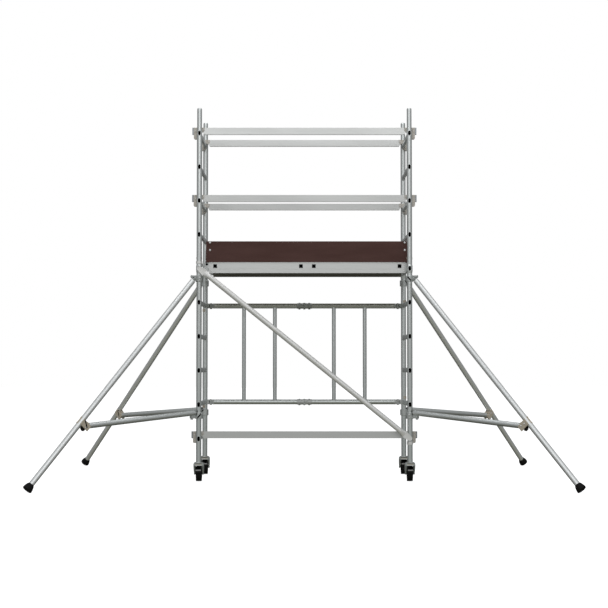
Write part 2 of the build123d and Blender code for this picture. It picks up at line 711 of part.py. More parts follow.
def cheek_plane(shift):
    """Plane of a bracket cheek: x down along the leg, y square to it underneath; shifted sideways."""
    away = leg_direction()
    middle = leg_line(leg_pivot_distance() - (BRACKET_REACH - PIVOT_R) / away.X)
    return Plane(origin=middle + Vector(0, shift, 0), x_dir=away, z_dir=(0, 1, 0))


def strip_bolts():
    """Two bolts down through the strip and the leg."""
    face = cheek_plane(0)
    bolts = []
    for along_leg in STRIP_BOLTS:
        head, end = (face.from_local_coords((along_leg, reach, 0)) for reach in (-26.5, 24))
        bolts.append(rod(head, end, 4))
    return bolts


def leg_strip():
    """Thin strip that lies along the top of the leg, curved to it, with a head on each bolt."""
    face = cheek_plane(0)
    half, wide = STRIP_SIZE[0] / 2, STRIP_SIZE[1] / 2
    start, finish = face.from_local_coords((3 - half, 0, 0)), face.from_local_coords((3 + half, 0, 0))
    strip = rod(start, finish, TUBE_OD / 2 + 1.5) - rod(start, finish, TUBE_OD / 2)
    strip &= prism(cheek_plane(-wide), Pos(3, -20) * Rectangle(2 * half, 40), 2 * wide)
    pieces = [strip]
    for bolt, along_leg in zip(strip_bolts(), STRIP_BOLTS):
        pieces[0] -= bolt
        low, high = (face.from_local_coords((along_leg, -reach, 0)) for reach in (22.5, 26.5))
        pieces.append(bolt + (rod(low, high, 5.5) - rod(start, finish, TUBE_OD / 2 + 1.5)))
    return pieces


def leg_bracket():
    """Two cheeks under the leg joined by two webs, one cheek split on the slant; the arm ends between them."""
    inside, thick = CHEEK_INSIDE, CHEEK_THICK
    outline = Pos(*CHEEK_CENTRE) * Rectangle(*CHEEK_SIZE)
    split = Pos(-5, 33.7) * Rotation(0, 0, 59.2) * Rectangle(64, 11)
    whole = prism(cheek_plane(-inside - thick), outline, thick)
    halved = prism(cheek_plane(inside), outline - split, thick)
    near = prism(web_plane(4), Rectangle(2 * inside, WEB_TALL), 6)
    near += prism(web_plane(4), Pos(0, 22) * Rectangle(40, 16), 26)
    far = prism(web_plane(-10), Rectangle(2 * inside, WEB_TALL), 6) + prism(web_plane(-26), Circle(17), 16)
    face = cheek_plane(0)
    leg = rod(face.from_local_coords((-90, 0, 0)), face.from_local_coords((90, 0, 0)), TUBE_OD / 2)
    bolt_at = Pos(0, -BOLT_BELOW)
    bolt = prism(web_plane(-14), bolt_at * Circle(5), 42)
    body = near + far + whole + halved
    return [body - leg - arm_outside() - bolt, bolt] + leg_strip()


def stab_clamps():
    return top_coupler() + low_coupler() + leg_bracket()


def stab_knob():
    """Five-lobed hand knob on the bracket bolt."""
    outline = Circle(14)
    for index in range(5):
        turn = radians(72 * index)
        outline += Pos(12.5 * cos(turn), 12.5 * sin(turn)) * Circle(5.5)
    bolt_at = Pos(0, -BOLT_BELOW)
    knob = prism(web_plane(27), bolt_at * outline, 19)
    return [knob - prism(web_plane(26), bolt_at * Circle(5.06), 9)]


# ---------------------------------------------------------------- castors
# Each castor is drawn about its own swivel axis: +X along the axle, +Y towards the trailing wheel.
def castor_stem():
    """Stem up inside the standard, the collar it stands on, and the headed kingpin below."""
    return turned([(0, 141), (11, 141), (11, 143.5), (8, 143.5), (8, 152), (37, 152), (37, 155),
                   (31, FOOT_OF_FRAME), (STEM_R, FOOT_OF_FRAME), (STEM_R, 280), (STEM_R - 5, 286), (0, 286)])


def castor_fork():
    """Pressed fork housing: a hooded crown under the collar and two bowed cheeks down to the axle."""
    front = [(-39, 151.7), (39, 151.7), (41, 146), (41, 88), (38, 66), (34, 58), (29.5, 58), (29.5, 112),
             (27, 118), (-27, 118), (-29.5, 112), (-29.5, 58), (-34, 58), (-38, 66), (-41, 88), (-41, 146)]
    body = plate_xz(front, -45, 90)
    side = [(-38, 151.7), (36, 151.7), (52, 128), (52, 66), (46, 52), (26, 52), (16, 62), (-14, 104),
            (-38, 132)]
    body &= plate_yz(side, -50, 50)
    body -= block(-27, 27, -35.5, 40, 100, 144) + block(-27, 27, -50, -35, 100, 132)
    body -= rod((-27, TRAIL, WHEEL_R), (27, TRAIL, WHEEL_R), WHEEL_R + 1)
    for x0, x1 in ((-36.5, -30), (30, 36.5)):
        body += rod((x0, TRAIL, WHEEL_R), (x1, TRAIL, WHEEL_R), 10)
    body -= rod((0, 0, 140), (0, 0, 160), 8.06)
    body -= rod((-50, -24, 138), (50, -24, 138), 3)
    return [body - rod((-50, TRAIL, WHEEL_R), (50, TRAIL, WHEEL_R), 6)]


def castor_axle():
    """Axle with a nut at each end, fixed in the fork."""
    axle = rod((-37, TRAIL, WHEEL_R), (37, TRAIL, WHEEL_R), 6)
    for x in (-41, 36.5):
        axle += prism(Plane(origin=(x, TRAIL, WHEEL_R), z_dir=(1, 0, 0)), RegularPolygon(7.5, 6), 4.5)
    return axle


def castor_wheel():
    """Wheel centre: hub, web and rim, turning on the axle."""
    profile = [(6.05, -27), (14, -27), (14, -10), (40, -7), (40, -20), (46, -20), (46, 20), (40, 20),
               (40, 7), (14, 10), (14, 27), (6.05, 27)]
    return Pos(0, TRAIL, WHEEL_R) * Rot(Y=90) * turned(profile)


def castor_tyre():
    half = WHEEL_WIDE / 2
    profile = [(46, -20), (52, -half), (WHEEL_R - 2.5, -half), (WHEEL_R, -half + 3), (WHEEL_R, half - 3),
               (WHEEL_R - 2.5, half), (52, half), (46, 20)]
    return Pos(0, TRAIL, WHEEL_R) * Rot(Y=90) * turned(profile)


def castor_brake():
    """Foot pedal in front of the tyre, hung on two arms from a pin across the fork."""
    arm = [(-29, 143), (-19, 143), (-18, 134), (-38, 104), (-42, 98), (-42, 84), (-50, 84), (-50, 106),
           (-34, 132)]
    pedal = block(-24, 24, -54, -42, 74, 100)
    for low, high in ((-24, -20), (20, 24)):
        pedal += plate_yz(arm, low, high)
        pedal += rod((low, -24, 138), (high, -24, 138), 5.5)
    return [pedal - rod((-30, -24, 138), (30, -24, 138), 3.05)]


def brake_pin():
    return rod((-33, -24, 138), (33, -24, 138), 3)


# ---------------------------------------------------------------- hand-over
CORNERS = {"fl": (-1, -1), "fr": (1, -1), "rl": (-1, 1), "rr": (1, 1)}


def make_castors():
    stems = []
    for corner, (side_x, side_y) in CORNERS.items():
        at = Pos(side_x * HALF_BAY, side_y * HALF_WIDTH, 0)
        stems.append(at * castor_stem())
        save(f"castor_{corner}_fork", placed(at, castor_fork() + [castor_axle(), brake_pin()]))
        save(f"castor_{corner}_wheel", [at * castor_wheel()])
        save(f"castor_{corner}_tyre", [at * castor_tyre()])
        save(f"castor_{corner}_brake", placed(at, castor_brake()))
    save("castor_stems", stems)


def make_stabilisers():
    parts = {
        "leg": stab_leg(), "foot": stab_foot(), "arm": stab_arm(), "clamps": stab_clamps(), "knob": stab_knob(),
    }
    for corner, (side_x, side_y) in CORNERS.items():
        turn = degrees(atan2(side_y * sin(radians(STAB_ANGLE)), side_x * cos(radians(STAB_ANGLE))))
        at = Pos(side_x * HALF_BAY, side_y * HALF_WIDTH, 0) * Rot(Z=turn)
        for name, pieces in parts.items():
            save(f"stab_{corner}_{name}", placed(at, pieces))


def make_frames():
    for name, x in (("left", -HALF_BAY), ("right", HALF_BAY)):
        save(f"base_frame_{name}", base_frame(x))
        save(f"top_frame_{name}", top_frame(x))
    save("frame_clips", lock_clips() + gate_clips())
    save("end_plugs", end_plugs())


def make_rails():
    claws, latches = claws_and_latches()
    save("guardrails_front", [rail(-RAIL_Y, UPPER_RAIL_RUNG), rail(-RAIL_Y, MIDDLE_RAIL_RUNG)])
    save("guardrails_rear", [rail(RAIL_Y, UPPER_RAIL_RUNG), rail(RAIL_Y, MIDDLE_RAIL_RUNG)])
    save("base_rail", [rail(-RAIL_Y, 0)])
    save("rail_claws", claws)
    save("claw_latches", latches)
    save("diagonal_brace", diagonal_brace())


def make_gate():
    leaf = gate_leaf()
    hinges, pins = gate_metal()
    save("gate_right_leaf", leaf)
    save("gate_left_leaf", flip_x(leaf))
    save("gate_hinges", hinges)
    save("gate_hinge_pins", pins)


def make_platform():
    save("platform_frame", platform_frame())
    save("platform_hooks", platform_hooks())
    save("platform_deck", deck_boards())
    save("trapdoor", trapdoor())
    save("trapdoor_hinges", trapdoor_hinges())
    save("toe_boards", toe_boards())
    save("toe_board_rivets", toe_rivets())


os.makedirs("parts", exist_ok=True)
make_frames()
make_rails()
make_gate()
make_platform()
make_stabilisers()
make_castors()
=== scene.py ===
import bpy
import bmesh
import math
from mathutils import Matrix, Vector


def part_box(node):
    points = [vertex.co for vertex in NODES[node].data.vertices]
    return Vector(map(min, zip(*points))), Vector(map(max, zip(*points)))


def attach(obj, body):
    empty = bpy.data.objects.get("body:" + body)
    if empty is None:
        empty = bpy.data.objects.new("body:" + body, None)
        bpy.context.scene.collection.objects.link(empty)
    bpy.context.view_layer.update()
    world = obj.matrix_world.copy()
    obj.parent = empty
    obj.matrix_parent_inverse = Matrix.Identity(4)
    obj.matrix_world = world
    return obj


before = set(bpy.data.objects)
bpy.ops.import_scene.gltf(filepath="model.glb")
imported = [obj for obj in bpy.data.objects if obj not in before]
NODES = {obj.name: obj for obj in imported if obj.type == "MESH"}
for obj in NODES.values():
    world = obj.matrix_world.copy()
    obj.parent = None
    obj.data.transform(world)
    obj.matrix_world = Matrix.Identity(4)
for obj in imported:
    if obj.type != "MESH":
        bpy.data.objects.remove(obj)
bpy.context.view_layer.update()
CORNERS = ("fl", "fr", "rl", "rr")

# Places on the tower, in metres
FRAME_X = (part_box("top_frame_right")[0].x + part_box("top_frame_right")[1].x) / 2
FRAME_HALF = 0.375                          # middle of the tower to the standards, along Y
RUNG_FIRST, RUNG_PITCH = 0.35, 0.28         # height of the lowest rung, and from one to the next
RUNGS = {"base": range(6), "top": range(6, 10)}
RUNG_OUTLINE = (0.0405, 0.0245)             # what the weld beads follow: tall, thick
RUNG_STRAIGHT, RUNG_CAP = 0.008, 0.012      # half a rung's straight side, and the radius of its round top
WELD_R, WELD_BEAD = 0.0222, 0.0024          # from a standard's axis to the weld, and the bead's radius
GRIP_SIZE = (0.0013, 0.68, 0.0014)
GRIP_PLACES = (-0.0066, -0.0022, 0.0022, 0.0066)
GATE_LOW, GATE_HIGH = 0.630, 1.468          # heights of the gate's two bars
GATE_BAR_R = 0.022
GATE_RIVETS = (0.092, 0.768)                # from the middle of the tower, along X
RAIL_LEVELS = {"guardrails_front": (2.893, 2.333), "guardrails_rear": (2.893, 2.333), "base_rail": (0.3796,)}
CLAW_RIVETS = ((0.836, 0.014), (0.904, 0.0))    # along X, and how far above the rail's middle
CLAW_HALF = 0.0154                          # half a claw's thickness at its rivets

DECK_SCREWS = ((-0.760, -0.600, -0.440, -0.280, -0.120, 0.040, 0.130, 0.770, 0.815), (-0.25, 0.25))
MEMBER_SCREWS = ((-0.028, 0.078), (-0.15, 0.0, 0.15))   # those beside the hatch; X places, Y places
BEAM_RIVETS = ((-0.7745, 0.8245), (1.733, 1.797))       # X places, heights
BEAM_FACE = 0.290                           # middle of the tower to the heads of the beam rivets
HOOK_RIVET = (-0.8005, 0.289, 1.762)
SLOT_PLATES = ((0.37, 0.53), -0.17)         # X places of the hatch's slot plates, and their Y
SLOT_PLATE_SIZE = (0.016, 0.040, 0.002)
SLOT_SCREW = 0.012                          # a slot plate's middle to its screws

# Stabilisers: places in the plane of each, with X outwards from its standard
STAB_TURN = math.radians(41.4)              # the plane from the X axis, seen from above
LEG_TILT = math.radians(43.6)               # the leg from the vertical
COUPLERS = ((1.6637, 1), (0.539, -1))       # height of each coupler, and the side its hinge boss is on
COUPLER_SPLIT = 62                          # degrees from the plane to a coupler's split, and to its boss
COUPLER_PAD = ((0.0232, -0.0235), (0.0268, -0.0235), (0.0268, 0.0235), (0.0232, 0.0235))  # radius, height
PAD_ANGLES = tuple(-32 + 8 * step for step in range(9))     # degrees each way from the split
BOSS_FACE = 0.0378                          # a standard's axis to the face of the boss
BOSS_HEADS = (0.010, -0.013)                # heights of the boss's large and small rivet
BRACKET = Vector((1.134, 0, 0.5224))        # middle of the bracket on the leg
BRACKET_FACE = 0.0265                       # half the bracket's width, along Y
BRACKET_BIG = ((0.002, 0.022), (-0.006, 0.056))     # its large rivets: down the leg, and below it
BRACKET_SMALL = (0.017, 0.050)
JOINT_SLANT = math.radians(59.2)            # its joint, painted black as shade, in the same terms but in millimetres:
JOINT_MIDDLE, JOINT_HALF = (-5, 33.7), (32, 5.5)
JOINT_DEPTH = (0.0165, 0.0255)              # from the plane of the stabiliser, in metres

# Castors
# the tread plate's height, where its grey stands in for a highlight on the pedal's edge
PEDAL_HEIGHT = 0.0945
TREAD_SIZE = (0.0440, 0.0022, 0.0100)
RIB_SIZE, RIB_PITCH, RIBS = (0.0016, 0.0014, 0.0092), 0.0038, range(-5, 6)
BRAKE_PIN = (0.0330, -0.024, 0.138)         # half its length, its Y from the standard's axis, its height


# ---------------------------------------------------------------- shader helpers

WHITE = (1, 1, 1)
MIX_A, MIX_B, MIX_RESULT = 6, 7, 2          # the mix node's colour sockets


def node(tree, kind, inputs=None, **props):
    """A new shader node; each input is a constant or the socket that feeds it."""
    made = tree.nodes.new(kind)
    for key, value in props.items():
        setattr(made, key, value)
    for key, value in (inputs or {}).items():
        if isinstance(value, bpy.types.NodeSocket):
            tree.links.new(value, made.inputs[key])
        else:
            made.inputs[key].default_value = value
    return made


def new_material(name, **constants):
    """A material with its node tree and shader; an underscore in a constant's name is a space."""
    material = bpy.data.materials.new(name)
    material.use_nodes = True
    tree = material.node_tree
    shader = tree.nodes["Principled BSDF"]
    for key, value in constants.items():
        shader.inputs[key.replace("_", " ")].default_value = value
    return material, tree, shader


def stretched(tree, axis=(0, 0, 1), stretch=1):
    """Object coordinates turned so that `axis` is the third one, which is then drawn out."""
    coords = node(tree, "ShaderNodeTexCoord").outputs["Object"]
    turn = Vector((0, 0, 1)).rotation_difference(Vector(axis)).to_euler()
    inputs = {"Vector": coords, "Rotation": turn, "Scale": (1, 1, stretch)}
    return node(tree, "ShaderNodeMapping", inputs, vector_type="TEXTURE").outputs["Vector"]


def noise(tree, vector, scale, detail=4.0, roughness=0.55):
    """Cloudy noise, as a number from 0 to 1."""
    inputs = {"Vector": vector, "Scale": scale, "Detail": detail, "Roughness": roughness}
    return node(tree, "ShaderNodeTexNoise", inputs).outputs["Fac"]


def cells(tree, vector, scale):
    """A node of round cells, with a Color and a Distance output."""
    return node(tree, "ShaderNodeTexVoronoi", {"Vector": vector, "Scale": scale})


def ramp(tree, factor, low, high, dark, light):
    """A colour that goes from dark to light as the factor goes from low to high."""
    made = node(tree, "ShaderNodeValToRGB", {"Fac": factor})
    first, last = made.color_ramp.elements
    first.position, first.color = low, (*dark, 1)
    last.position, last.color = high, (*light, 1)
    return made.outputs["Color"]


def spread(tree, value, low, high, to_low, to_high):
    """A number that goes from to_low to to_high as the value goes from low to high, and no further."""
    inputs = {"Value": value, "From Min": low, "From Max": high, "To Min": to_low, "To Max": to_high}
    return node(tree, "ShaderNodeMapRange", inputs).outputs["Result"]


def maths(tree, operation, *values):
    """The result of a sum on constants or sockets."""
    return node(tree, "ShaderNodeMath", dict(enumerate(values)), operation=operation).outputs[0]


def multiply(tree, colour, other, factor=1.0):
    """The colour where the factor is 0, and the product of both colours where it is 1."""
    inputs = {"Factor": factor, MIX_A: colour, MIX_B: other}
    return node(tree, "ShaderNodeMix", inputs, data_type="RGBA", blend_type="MULTIPLY").outputs[MIX_RESULT]


def surface(tree, shader, colour, rough, height, strength, distance):
    """Feeds the shader a colour, a roughness and a bump that follows the height."""
    tree.links.new(colour, shader.inputs["Base Color"])
    tree.links.new(rough, shader.inputs["Roughness"])
    inputs = {"Height": height, "Strength": strength, "Distance": distance}
    tree.links.new(node(tree, "ShaderNodeBump", inputs).outputs["Normal"], shader.inputs["Normal"])


def place_along(tree, axis):
    """The object coordinate along X, Y or Z, as a number; X and Y count from the middle both ways."""
    coords = node(tree, "ShaderNodeTexCoord").outputs["Object"]
    value = node(tree, "ShaderNodeSeparateXYZ", {"Vector": coords}).outputs[axis]
    return value if axis == "Z" else maths(tree, "ABSOLUTE", value)


def within(tree, axis, low, high, soft=0.0002):
    """1 between two places along an axis, 0 elsewhere."""
    place = place_along(tree, axis)
    above = spread(tree, place, low - soft, low, 0.0, 1.0)
    below = spread(tree, place, high, high + soft, 1.0, 0.0)
    return maths(tree, "MULTIPLY", above, below)


def tint_where(material, factor, tint):
    """Multiplies the tint into the material's colour where the factor is 1."""
    tree = material.node_tree
    base = tree.nodes["Principled BSDF"].inputs["Base Color"]
    tree.links.new(multiply(tree, base.links[0].from_socket, (*tint, 1), factor), base)


def shade_where(material, axis, low, high, tint):
    """Multiplies the tint into the part of the material that lies between two places along an axis."""
    tint_where(material, within(material.node_tree, axis, low, high), tint)
    return material


# ---------------------------------------------------------------- materials

MILL_TINT = (0.835, 0.868, 0.862)
RAIL_TINT = (0.77, 0.78, 0.77)
# brighter than the mill tint: painted highlight on the stabiliser legs
LEG_HIGHLIGHT_TINT = (0.93, 0.95, 0.945)
# painted shade, for the inner faces of the platform beams
SHADED = (0.34, 0.33, 0.28)


def drawn_aluminium(name, axis, tint=MILL_TINT, shine=0.36, metallic=1.0):
    """Mill-finish tube: die lines along its length, cloudy oxide and a few duller handling marks."""
    material, tree, shader = new_material(name, Metallic=metallic)
    fine = noise(tree, stretched(tree, axis, 60), 420, 3)
    cloud = noise(tree, stretched(tree, axis, 5), 9, 5, 0.6)
    marks = noise(tree, stretched(tree, axis, 3), 38, 6, 0.7)
    dull = tuple(0.97 * c for c in tint)
    body = ramp(tree, cloud, 0.3, 0.7, dull, tint)
    lines = ramp(tree, fine, 0.3, 0.7, (0.94, 0.94, 0.94), WHITE)
    scuffs = ramp(tree, marks, 0.26, 0.36, (0.94, 0.94, 0.93), WHITE)
    colour = multiply(tree, multiply(tree, body, lines), scuffs)
    rough = spread(tree, cloud, 0.25, 0.75, shine + 0.05, shine - 0.03)
    surface(tree, shader, colour, rough, fine, 0.02, 0.0003)
    return material


def tube_upright(name, tint=MILL_TINT):
    """Upright tube with painted shade: its colour darkens towards the ground."""
    material = drawn_aluminium(name, (0, 0, 1), tint)
    tree = material.node_tree
    # painted shade, growing from 1.5 m down to 0.25 m above the ground
    tint_where(material, spread(tree, place_along(tree, "Z"), 0.25, 1.5, 1.0, 0.0), (0.86, 0.875, 0.87))
    return material


def cast_metal(name, dark, light, rough=0.5, metallic=1.0):
    """Sand-cast finish: pebbled surface with darker hollows."""
    material, tree, shader = new_material(name, Metallic=metallic)
    where = stretched(tree)
    grain = noise(tree, where, 900, 3, 0.6)
    patches = noise(tree, where, 45, 5, 0.6)
    hollows = ramp(tree, grain, 0.3, 0.6, (0.8, 0.8, 0.8), WHITE)
    colour = multiply(tree, ramp(tree, patches, 0.3, 0.7, dark, light), hollows)
    worn = spread(tree, patches, 0.3, 0.7, rough + 0.1, rough - 0.08)
    surface(tree, shader, colour, worn, grain, 0.35, 0.0006)
    return material


def zinc_plate(name, dark, light, metallic=1.0):
    """Passivated zinc: fine spangle over patches where the coat is thicker."""
    material, tree, shader = new_material(name, Metallic=metallic)
    where = stretched(tree)
    patches = noise(tree, where, 60, 4, 0.6)
    spangle = ramp(tree, cells(tree, where, 260).outputs["Color"], 0.1, 0.9, (0.84, 0.84, 0.85), WHITE)
    colour = multiply(tree, ramp(tree, patches, 0.35, 0.65, dark, light), spangle)
    rough = spread(tree, patches, 0.3, 0.7, 0.42, 0.28)
    surface(tree, shader, colour, rough, noise(tree, where, 700, 2), 0.12, 0.0003)
    return material


def moulded(name, dark, light, rough, grain_scale, grain_depth, gloss=0.2):
    """Moulded plastic or rubber: a textured skin with paler rubbed patches."""
    material, tree, shader = new_material(name, Specular_IOR_Level=gloss)
    where = stretched(tree)
    grain = cells(tree, where, grain_scale).outputs["Distance"]
    rubbed = noise(tree, where, 55, 6, 0.65)
    colour = ramp(tree, rubbed, 0.4, 0.75, dark, light)
    worn = spread(tree, rubbed, 0.3, 0.7, rough + 0.08, rough - 0.1)
    surface(tree, shader, colour, worn, grain, 0.3, grain_depth)
    return material


def faced_ply(name):
    """Brown film-faced ply: a cloudy film over a pressed mesh."""
    material, tree, shader = new_material(name, Specular_IOR_Level=0.2)
    mesh = cells(tree, stretched(tree), 330).outputs["Distance"]
    cloud = noise(tree, stretched(tree, (1, 0, 0), 6), 14, 6, 0.6)
    film = ramp(tree, cloud, 0.3, 0.7, (0.096, 0.0445, 0.0375), (0.1175, 0.056, 0.048))
    pits = ramp(tree, mesh, 0.1, 0.5, (0.75, 0.75, 0.75), WHITE)
    rough = spread(tree, cloud, 0.3, 0.7, 0.62, 0.48)
    surface(tree, shader, multiply(tree, film, pits), rough, mesh, 0.35, 0.0008)
    return material


def clamp_finish():
    """Bright castings on the standards and warm plates on the legs, in one set of clamps."""
    material = cast_metal("clamp_finish", (0.62, 0.65, 0.64), (0.76, 0.79, 0.78), 0.44, 0.85)
    tree = material.node_tree
    out_on_leg = spread(tree, place_along(tree, "X"), 1.2, 1.21, 0.0, 1.0)
    tint_where(material, out_on_leg, (0.97, 0.83, 0.68))
    metallic = tree.nodes["Principled BSDF"].inputs["Metallic"]
    tree.links.new(spread(tree, out_on_leg, 0.0, 1.0, 0.85, 0.2), metallic)
    return material


def fork_zinc_and_highlight():
    """Zinc-plated fork, darkened all over but for a painted highlight on its front lip; above that, a brass
    line and a dark line.
    """
    material = zinc_plate("fork_zinc_and_highlight", (0.84, 0.86, 0.85), (0.94, 0.95, 0.94), 0.5)
    tree = material.node_tree
    lip = within(tree, "X", FRAME_X - 0.027, FRAME_X + 0.027)
    # painted highlight: a band on the front lip keeps the plain zinc colour while the rest is darkened
    painted_highlight_band = maths(tree, "MULTIPLY", within(tree, "Z", 0.1300, 0.1412), lip)
    tint_where(material, maths(tree, "SUBTRACT", 1.0, painted_highlight_band), (0.56, 0.59, 0.585))
    # a brass line, and a dark line above it
    for low, high, tint in ((0.1412, 0.1450, (0.80, 0.66, 0.36)), (0.1450, 0.1485, (0.16, 0.15, 0.13))):
        tint_where(material, maths(tree, "MULTIPLY", within(tree, "Z", low, high), lip), tint)
    return material


def rail_extrusion_and_shade():
    """Rail extrusion: painted shade on its ends inside the claws, and a little darker on the middle
    guardrails.
    """
    material = drawn_aluminium("rail_extrusion", (1, 0, 0), RAIL_TINT, 0.42)
    # painted shade on the rail ends that lie inside the claws
    shade_where(material, "X", 0.900, 1.0, (0.50, 0.52, 0.55))
    return shade_where(material, "Z", 2.2, 2.45, (0.90, 0.90, 0.90))


def gate_tube_and_shade():
    """Gate tube: its top bar lies in the platform's shade, the upper half most of all."""
    material = tube_upright("gate_tube", (0.80, 0.83, 0.825))
    # painted shade on the top bar, deeper on its upper half
    shade_where(material, "Z", GATE_HIGH - 0.009, 1.6, (0.55, 0.54, 0.48))
    shade_where(material, "Z", GATE_HIGH + 0.009, 1.6, (0.50, 0.50, 0.47))
    # the lower bar a touch darker
    return shade_where(material, "Z", 0.5, GATE_LOW + GATE_BAR_R, (0.98, 0.98, 0.97))


TUBE_Z = tube_upright("tube_upright")
TUBE_Y = drawn_aluminium("rung_grips", (0, 1, 0))
# painted highlight: the brace gets a brighter tint than the other tubes
BRACE = drawn_aluminium("brace_tube", (0.778, 0, -0.628), (0.95, 0.95, 0.935), 0.46, 0.5)
RAIL_X = rail_extrusion_and_shade()
# painted shade on the beams' inner faces and the members between them
BEAM = shade_where(drawn_aluminium("beam_extrusion", (1, 0, 0), RAIL_TINT, 0.42), "Y", -0.01, 0.2865, SHADED)
GATE = gate_tube_and_shade()
# painted shade on the upper gate hinges and pins, which lie under the platform
GREY = shade_where(cast_metal("grey_casting_and_shade", (0.56, 0.585, 0.57), (0.70, 0.72, 0.71), 0.50, 0.5),
                   "Z", 1.3, 1.6, (0.60, 0.61, 0.58))
HOOK = cast_metal("hook_finish", (0.55, 0.57, 0.56), (0.72, 0.74, 0.73), 0.42)
CLAW = cast_metal("claw_finish", (0.61, 0.575, 0.52), (0.72, 0.685, 0.63), 0.50, 0.3)
TAN = cast_metal("tan_casting_finish", (0.54, 0.48, 0.40), (0.68, 0.62, 0.53), 0.5, 0.3)
WELD = cast_metal("weld_bead_finish", (0.60, 0.62, 0.61), (0.74, 0.76, 0.75), 0.4)
CLAMP = clamp_finish()
FORK = fork_zinc_and_highlight()
ZINC = zinc_plate("zinc_finish", (0.60, 0.60, 0.57), (0.80, 0.81, 0.80))
BRIGHT = zinc_plate("bolt_finish", (0.93, 0.94, 0.94), (0.98, 0.98, 0.98), 0.6)
# partly the tread's colour, partly a painted highlight along the pedal's edge
PEDAL_TREAD_HIGHLIGHT = zinc_plate("pedal_tread_and_highlight", (0.42, 0.42, 0.42), (0.54, 0.54, 0.54))
PLASTIC = moulded("black_plastic_finish", (0.003, 0.003, 0.003), (0.010, 0.010, 0.010), 0.42, 1400, 0.0003)
# near-black with almost no shine: painted shade in open tube ends, coupler splits and the bracket's joint
SHADE_BLACK = moulded("painted_shade_black", (0.001, 0.001, 0.001), (0.003, 0.003, 0.003), 0.9, 700, 0.0004, 0.02)
RUBBER = moulded("black_rubber_finish", (0.002, 0.002, 0.002), (0.007, 0.007, 0.006), 0.62, 900, 0.0005)
PLY = faced_ply("brown_ply_finish")


# ---------------------------------------------------------------- dressing the CAD nodes

def signs(corner):
    """Which side of the tower a corner is on, along X and along Y, as -1 or 1."""
    return (-1 if corner[1] == "l" else 1), (-1 if corner[0] == "f" else 1)


def at_corners(*patterns):
    """The names that each pattern gives at the four corners."""
    return [pattern % corner for pattern in patterns for corner in CORNERS]


def dress(names, material):
    """Gives CAD nodes this material in place of their plain one."""
    for name in names:
        if not NODES[name].data.materials:
            NODES[name].data.materials.append(material)
        for slot in NODES[name].material_slots:
            slot.material = material


for names, finish in (
    ([n for n in NODES if n.startswith(("base_frame", "top_frame"))], TUBE_Z),
    ([n for n in NODES if n.startswith(("gate_left", "gate_right"))], GATE),
    (["diagonal_brace"], BRACE),
    (["guardrails_front", "guardrails_rear", "base_rail"], RAIL_X),
    (["platform_frame"], BEAM),
    (["gate_hinges", "gate_hinge_pins"], GREY),
    (["platform_hooks"], HOOK),
    (["rail_claws", "claw_latches"], CLAW),
    (["frame_clips"], TAN),
    (["castor_stems", "trapdoor_hinges"], ZINC),
    (["toe_board_rivets"], BRIGHT),
    (["end_plugs"], SHADE_BLACK),
    (["platform_deck", "toe_boards", "trapdoor"], PLY),
    (at_corners("stab_%s_clamps"), CLAMP),
    (at_corners("castor_%s_fork"), FORK),
    (at_corners("castor_%s_wheel", "castor_%s_brake", "stab_%s_knob"), PLASTIC),
    (at_corners("castor_%s_tyre", "stab_%s_foot"), RUBBER),
):
    dress(names, finish)

for corner in CORNERS:
    sx, sy = signs(corner)
    out = Vector((sx * math.cos(STAB_TURN), sy * math.sin(STAB_TURN), 0))
    down_leg = math.sin(LEG_TILT) * out - math.cos(LEG_TILT) * Vector((0, 0, 1))
    down_arm = out - Vector((0, 0, 0.07))
    leg_finish = drawn_aluminium("leg_tube_" + corner, down_leg, LEG_HIGHLIGHT_TINT, 0.36, 0.82)
    dress(["stab_%s_leg" % corner], leg_finish)
    dress(["stab_%s_arm" % corner], drawn_aluminium("arm_tube_" + corner, down_arm, shine=0.42))


# ---------------------------------------------------------------- shapes

SHARP_ANGLE = math.radians(35)              # between faces, from which an edge is drawn sharp
# Profiles for lathe(): radius, distance along the axis
RIVET = ((0.0048, 0.0), (0.0046, 0.0009), (0.0036, 0.0019), (0.0018, 0.0025), (0.0004, 0.0026))
BIG_RIVET = tuple((1.5 * radius, 1.2 * along) for radius, along in RIVET)
SCREW = ((0.0042, -0.001), (0.0042, 0.0004), (0.0036, 0.0006), (0.0012, 0.0004), (0.0003, 0.0004))
DOME_NUT = ((0.0055, 0.0), (0.0055, 0.0016), (0.0042, 0.0030), (0.0004, 0.0034))


def piece(name, mesh, material, body):
    """Turns a bmesh into a smooth-shaded object that rides on a body."""
    bmesh.ops.recalc_face_normals(mesh, faces=mesh.faces)
    data = bpy.data.meshes.new(name)
    mesh.to_mesh(data)
    mesh.free()
    data.materials.append(material)
    obj = bpy.data.objects.new(name, data)
    bpy.context.scene.collection.objects.link(obj)
    data.shade_smooth()
    data.set_sharp_from_angle(angle=SHARP_ANGLE)
    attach(obj, body)


def skin(mesh, loops, closed=False):
    """Skins a row of equal loops of points; an open row gets end caps."""
    rings = [[mesh.verts.new(point) for point in loop] for loop in loops]
    count = len(rings[0])
    pairs = list(zip(rings, rings[1:])) + ([(rings[-1], rings[0])] if closed else [])
    for first, second in pairs:
        for index in range(count):
            after = (index + 1) % count
            mesh.faces.new((first[index], first[after], second[after], second[index]))
    if not closed:
        mesh.faces.new(rings[0])
        mesh.faces.new(rings[-1])


def lathe(mesh, origin, axis, profile, sides=18):
    """Solid of revolution: profile of (radius, distance along the axis) with no zero radius."""
    turn = Vector((0, 0, 1)).rotation_difference(Vector(axis))
    angles = [math.tau * index / sides for index in range(sides)]
    skin(mesh, [[Vector(origin) + turn @ Vector((radius * math.cos(a), radius * math.sin(a), along))
                 for a in angles] for radius, along in profile])


